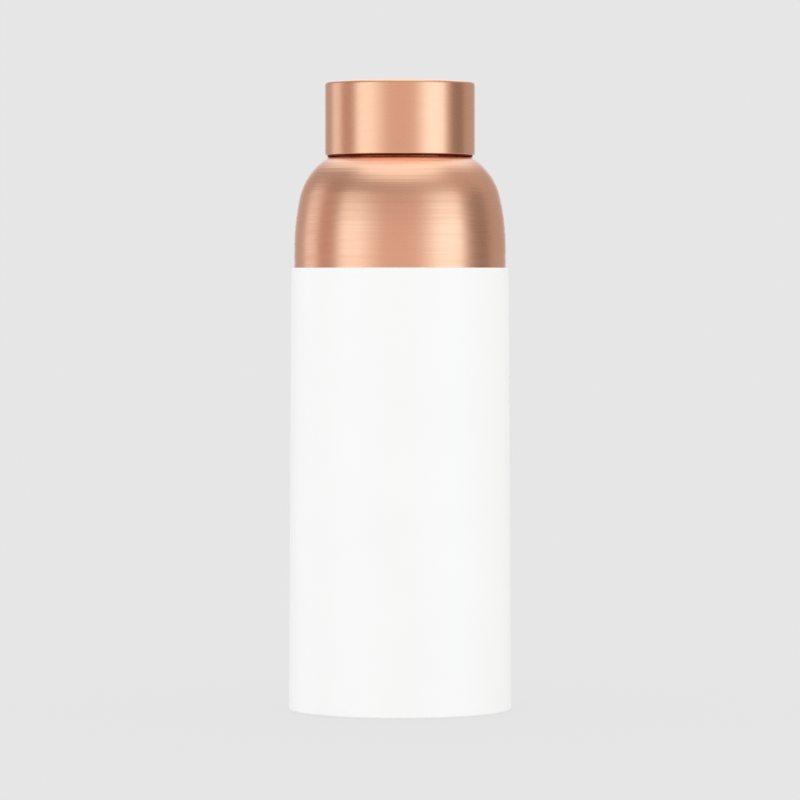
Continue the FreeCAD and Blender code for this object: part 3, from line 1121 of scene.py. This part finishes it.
@dataclass
class Cap(Assembly):
    """The cap: drawn copper cup over a moulded insert with the thread, and the pad between them."""

    sheet: float = 0.8
    top_round: float = 1.1
    lip_round: float = 0.35
    insert_wall: float = 2.1
    insert_roof: float = 1.6
    insert_top_round: float = 0.6
    insert_rim_round: float = 0.25
    bead_reach: float = 0.85
    bead_height: float = 0.9
    bead_round: float = 0.2
    turns: float = 1.6
    lead: float = 0.2
    thread: Thread = field(default_factory=Thread)
    vessel: Vessel = field(kw_only=True)

    def build(self) -> list[bpy.types.Object]:
        """Turn the cap's pieces, set them on their body and dress the pad.

        Returns:
            The pieces.
        """
        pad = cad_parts["cap_pad"]
        for slot in pad.material_slots:
            slot.material = self.finishes.foam
        return [
            settle(self.cup(), Body.CAP, "cap_shell"),
            settle(self.insert(), Body.CAP, "cap_insert"),
            pad,
        ]

    def cup(self) -> bpy.types.Object:
        """The drawn copper cup.

        Returns:
            The piece.
        """
        outside, top = reach("cap_shell"), top_of("cap_shell")
        bottom, inside = foot_of("cap_shell"), reach("cap_shell") - self.sheet
        outline = Outline(rounded(
            (0.0, top - self.sheet),
            (0.0, top),
            (outside, top, self.top_round),
            (outside, bottom, self.lip_round),
            (inside, bottom),
            (inside, top - self.sheet, self.top_round - self.sheet)))
        return self.shop.turn("cap_cup", outline, self.finishes.fine_brushed)

    def insert(self) -> bpy.types.Object:
        """The moulded insert: roof, threaded bore and the bead that keeps the gasket in.

        Returns:
            The piece.
        """
        outside, rim = reach("cap_insert"), foot_of("cap_insert")
        bore, roof = outside - self.insert_wall, top_of("cap_insert")
        bead, bead_top = bore - self.bead_reach, self.vessel.rim
        bead_bottom = bead_top - self.bead_height
        outline = Outline(rounded(
            (0.0, roof - self.insert_roof),
            (0.0, roof),
            (outside, roof, self.insert_top_round),
            (outside, rim, self.insert_rim_round),
            (bore, rim, self.insert_rim_round),
            (bore, bead_bottom - self.bead_reach),
            (bead, bead_bottom, self.bead_round),
            (bead, bead_top, self.bead_round),
            (bore, bead_top),
            (bore, roof - self.insert_roof)))
        # the rim that shows below the cup is dark brown as painted shade for the gap under the cap
        cup = self.shop.turn("cap_insert_moulded", outline, self.finishes.plastic)
        thread = self.thread
        shared = (thread.root_width + thread.crest_width) / 2 - thread.clearance * thread.slope
        neck_start = self.vessel.land + self.vessel.collar_height + self.vessel.collar_to_thread
        ridge = thread.sizes(bore, -1.0, bore - self.vessel.barrel - thread.clearance, self.turns,
                             self.lead, neck_start - shared - thread.flank_play)
        return self.shop.thread(cup, ridge, self.finishes.plastic)


@dataclass
class Seal(Assembly):
    """The floating seal: a silicone gasket that grips a dished copper liner."""

    edge_round: float = 0.2
    groove: float = 1.0
    dish_reach: float = 3.6
    dish_slope: float = 1.2
    dish_depth: float = 0.6
    dish_round: float = 0.5
    liner_sheet: float = 0.5

    def build(self) -> list[bpy.types.Object]:
        """Turn the seal's pieces and set them on their body.

        Returns:
            The pieces.
        """
        return [
            settle(self.gasket(), Body.SEAL, "cap_gasket"),
            settle(self.liner(), Body.SEAL, "cap_liner"),
        ]

    def gasket(self) -> bpy.types.Object:
        """The gasket, with a groove round its hole.

        Returns:
            The piece.
        """
        outside, bottom, top = reach("cap_gasket"), foot_of("cap_gasket"), top_of("cap_gasket")
        liner, liner_top = reach("cap_liner"), top_of("cap_liner")
        hole = liner - self.groove
        outline = Outline(rounded(
            (hole, bottom, self.edge_round),
            (outside, bottom, self.edge_round),
            (outside, top, self.edge_round),
            (hole, top, self.edge_round),
            (hole, liner_top),
            (liner, liner_top),
            (liner, liner_top - self.liner_sheet),
            (hole, liner_top - self.liner_sheet)))
        return self.shop.turn("seal_gasket", outline, self.finishes.clear)

    def liner(self) -> bpy.types.Object:
        """The liner, dished down in the middle.

        Returns:
            The piece.
        """
        edge, top = reach("cap_liner"), top_of("cap_liner")
        bottom, dish = top - self.liner_sheet, edge - self.dish_reach
        outline = Outline(rounded(
            (0.0, bottom - self.dish_depth),
            (0.0, top - self.dish_depth),
            (dish - self.dish_slope, top - self.dish_depth, self.dish_round),
            (dish, top, self.dish_round),
            (edge, top),
            (edge, bottom),
            (dish, bottom, self.dish_round),
            (dish - self.dish_slope, bottom - self.dish_depth, self.dish_round)))
        return self.shop.turn("seal_liner", outline, self.finishes.spun)


def settle(piece: bpy.types.Object, body: Body, node: str) -> bpy.types.Object:
    """Put a finished piece on its body, in place of its CAD node.

    Args:
        piece: The piece.
        body: The body that it rides on.
        node: The CAD node that it stands for.

    Returns:
        The piece.
    """
    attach(piece, body.value)
    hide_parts(node)
    return piece


# ------------------------------------------------------------------ studio
@dataclass(frozen=True)
class Panel:
    """A light panel or a flag in the ring round the bottle, as the metal mirrors it.

    It spans the azimuths from low to high, in degrees round the bottle from the camera, more to the
    camera's right. Each side fades over its own width. The colour is the light's own: a diffused
    daylight panel is cool beside the warm room.
    """

    low: float
    high: float
    low_fade: float
    high_fade: float
    level: float
    tint: tuple[float, float, float] = (1.0, 1.0, 1.0)

    @property
    def colour(self) -> Colour:
        """The light's colour at its level."""
        red, green, blue = (self.level * t for t in self.tint)
        return red, green, blue, 1.0

    def share(self, tree: bpy.types.NodeTree, azimuth: bpy.types.Node) -> bpy.types.Node:
        """Where the panel is.

        Args:
            tree: The world's tree.
            azimuth: Node that gives a direction's azimuth in degrees.

        Returns:
            A node that gives 1 on the panel, 0 off it and less than 1 in its fades.
        """
        # Measured from the panel's middle, so that one behind the bottle spans 180 degrees.
        middle, half = (self.low + self.high) / 2, (self.high - self.low) / 2
        off = add_node(tree, "ShaderNodeMath", (azimuth, middle), operation="SUBTRACT")
        near = add_node(tree, "ShaderNodeMath", (off, 180.0, -180.0), operation="WRAP")
        sides = [add_node(tree, "ShaderNodeMapRange", (near, edge - fade / 2, edge + fade / 2, start, end),
                          interpolation_type="SMOOTHSTEP")
                 for edge, fade, start, end in ((-half, self.low_fade, 0.0, 1.0),
                                                (half, self.high_fade, 1.0, 0.0))]
        return add_node(tree, "ShaderNodeMath", sides, operation="MULTIPLY")


@dataclass
class Studio:
    """Pale table, camera and soft light.

    Matt surfaces are lit by an even white tent. Metal mirrors the ring of panels in its wall, a
    dark gap above them and a panel overhead. The camera sees a plain pale backdrop.
    """

    backdrop: float = 0.791
    tent: float = 1.26
    table_reach: float = 6000.0
    table_glow: float = 0.64
    table_from: float = -22.0     # elevations between which the room fades in over the table
    table_to: float = -10.0
    camera_height: float = 140.6
    camera_distance: float = 1555.0
    target_height: float = 102.5
    lens: float = 211.5
    room: float = 0.49
    gap: float = 0.45             # above the panels, before the overhead cloth begins
    gap_lean: float = 0.11        # how much lighter it is on the right, and darker on the left
    gap_share: float = 0.93
    gap_from: float = 10.0
    gap_to: float = 36.0
    cloth_edge: float = 57.5      # elevation of the middle of the overhead cloth's soft edge
    cloth_fade: float = 15.0      # half the width of that edge in front
    cloth_tightens: float = 0.045  # what each degree round takes off it
    cloth_falls_from: float = 110.0   # behind the bottle the cloth comes down to the table
    cloth_slope: float = 0.66
    cloth: Colour = (1.17, 1.48, 1.66, 1.0)
    panels: tuple[Panel, ...] = (
        Panel(-36.0, 36.0, 20.0, 20.0, 0.71, (1.01, 1.0, 1.04)),
        Panel(-71.5, -32.0, 16.0, 36.0, 1.50, (0.78, 1.0, 1.14)),
        Panel(-99.0, -79.0, 10.0, 10.0, 0.44, (1.15, 1.0, 1.0)),
        Panel(-127.0, -103.0, 12.0, 12.0, 1.06, (0.85, 1.0, 1.12)),
        Panel(32.0, 74.5, 32.0, 14.0, 1.69, (0.74, 1.0, 1.17)),
        Panel(86.0, 114.0, 8.0, 18.0, 0.27),
        Panel(164.0, 196.0, 16.0, 16.0, 1.04, (0.92, 1.0, 1.10)),
    )

    def build(self) -> None:
        """Make the table, the light and the camera."""
        self._table()
        self._light()
        self._camera()
        bpy.context.scene.view_settings.view_transform = "Standard"

    def _table(self) -> None:
        """A wide sheet of opal acrylic lit from below, so that a shadow on it is only a hint."""
        far = self.table_reach * MM
        mesh = bpy.data.meshes.new("table")
        mesh.from_pydata([(-far, -far, 0), (far, -far, 0), (far, far, 0), (-far, far, 0)], [],
                         [(0, 1, 2, 3)])
        table = bpy.data.objects.new("table", mesh)
        bpy.context.scene.collection.objects.link(table)
        material, _, shader = surface("opal_acrylic")
        glow = self.table_glow
        shader.inputs["Base Color"].default_value = (*[(self.backdrop - glow) / self.tent] * 3, 1.0)
        shader.inputs["Roughness"].default_value = 0.9
        shader.inputs["Specular IOR Level"].default_value = 0.0
        shader.inputs["Emission Color"].default_value = (1.0, 1.0, 1.0, 1.0)
        shader.inputs["Emission Strength"].default_value = glow
        mesh.materials.append(material)
        table.visible_glossy = False
        table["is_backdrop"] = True

    def _light(self) -> None:
        """The tent, the ring of panels and the backdrop, each for the rays that should meet it."""
        world = bpy.data.worlds.new("studio")
        bpy.context.scene.world = world
        world.use_nodes = True
        world.cycles.sampling_method = "NONE"
        tree = world.node_tree
        tree.nodes.clear()
        colour: Any = self._grey(self.room)
        for share, layer in self._layers(tree):
            colour = add_node(tree, "ShaderNodeMix", {0: share, 6: colour, 7: layer},
                              data_type="RGBA").outputs[2]
        shine = add_node(tree, "ShaderNodeBackground", {"Color": colour, "Strength": 1.0})
        add_node(tree, "ShaderNodeOutputWorld", {"Surface": shine})

    @staticmethod
    def _grey(level: float) -> Colour:
        """A grey of a level."""
        return level, level, level, 1.0

    def _layers(self, tree: bpy.types.NodeTree) -> Iterable[tuple[Any, Any]]:
        """What lies over the plain room, one layer over another.

        Args:
            tree: The world's tree.

        Yields:
            Each layer's share, by direction or by kind of ray, and its colour.
        """
        way = add_node(tree, "ShaderNodeTexCoord").outputs["Generated"]
        part = add_node(tree, "ShaderNodeSeparateXYZ", [way])
        back = add_node(tree, "ShaderNodeMath", (part.outputs["Y"], -1.0), operation="MULTIPLY")
        turn = add_node(tree, "ShaderNodeMath", (part.outputs["X"], back), operation="ARCTAN2")
        azimuth = add_node(tree, "ShaderNodeMath", [turn], operation="DEGREES")
        lift = add_node(tree, "ShaderNodeMath", [part.outputs["Z"]], operation="ARCSINE")
        elevation = add_node(tree, "ShaderNodeMath", [lift], operation="DEGREES")
        for panel in self.panels:
            yield panel.share(tree, azimuth), panel.colour
        yield (add_node(tree, "ShaderNodeMapRange",
                        (elevation, self.gap_from, self.gap_to, 0.0, self.gap_share),
                        interpolation_type="SMOOTHSTEP"),
               add_node(tree, "ShaderNodeMath", (part.outputs["X"], self.gap_lean, self.gap),
                        operation="MULTIPLY_ADD"))
        # Behind the bottle the cloth's edge comes down, and it is the sharper the further round it is.
        round_off = add_node(tree, "ShaderNodeMath", [azimuth], operation="ABSOLUTE")
        behind = add_node(tree, "ShaderNodeMath", (round_off, self.cloth_falls_from), operation="SUBTRACT")
        fall = add_node(tree, "ShaderNodeMath", (behind, 0.0), operation="MAXIMUM")
        lifted = add_node(tree, "ShaderNodeMath", (fall, self.cloth_slope, elevation),
                          operation="MULTIPLY_ADD")
        over = add_node(tree, "ShaderNodeMath", (lifted, self.cloth_edge), operation="SUBTRACT")
        fade = add_node(tree, "ShaderNodeMath", (round_off, -self.cloth_tightens, self.cloth_fade),
                        operation="MULTIPLY_ADD")
        below = add_node(tree, "ShaderNodeMath", (fade, -1.0), operation="MULTIPLY")
        yield (add_node(tree, "ShaderNodeMapRange", (over, below, fade, 0.0, 1.0),
                        interpolation_type="SMOOTHSTEP"), self.cloth)
        yield (add_node(tree, "ShaderNodeMapRange", (elevation, self.table_from, self.table_to, 1.0, 0.0),
                        interpolation_type="SMOOTHSTEP"), self._grey(self.backdrop))
        ray = add_node(tree, "ShaderNodeLightPath")
        yield ray.outputs["Is Diffuse Ray"], self._grey(self.tent)
        yield ray.outputs["Is Camera Ray"], self._grey(self.backdrop)

    def _camera(self) -> None:
        """A long lens level with the shoulder, looking a little down at the bottle."""
        data = bpy.data.cameras.new("camera")
        data.lens = self.lens
        data.clip_start, data.clip_end = 0.05, 50.0
        camera = bpy.data.objects.new("camera", data)
        camera.location = Vector((0.0, -self.camera_distance, self.camera_height)) * MM
        look = Vector((0.0, 0.0, self.target_height)) * MM - camera.location
        camera.rotation_mode = "QUATERNION"
        camera.rotation_quaternion = look.to_track_quat("-Z", "Y")
        bpy.context.scene.collection.objects.link(camera)
        bpy.context.scene.camera = camera


# ------------------------------------------------------------------ the whole
def main() -> None:
    """Build the bottle and its studio."""
    logging.basicConfig(level=logging.INFO, format="%(name)s: %(message)s")
    cad_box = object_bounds()
    kit = Workshop(), Finishes()
    vessel = Vessel(*kit)
    for assembly in (vessel, Sleeve(*kit), Cap(*kit, vessel=vessel), Seal(*kit)):
        for piece in assembly.build():
            LOG.info("%s: %s is in place", type(assembly).__name__, piece.name)
    Studio().build()
    boxes = {"cad": cad_box, "visual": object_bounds()}
    {name: [list(corner) for corner in box] for name, box in boxes.items()}


if __name__ == "__main__":
    main()
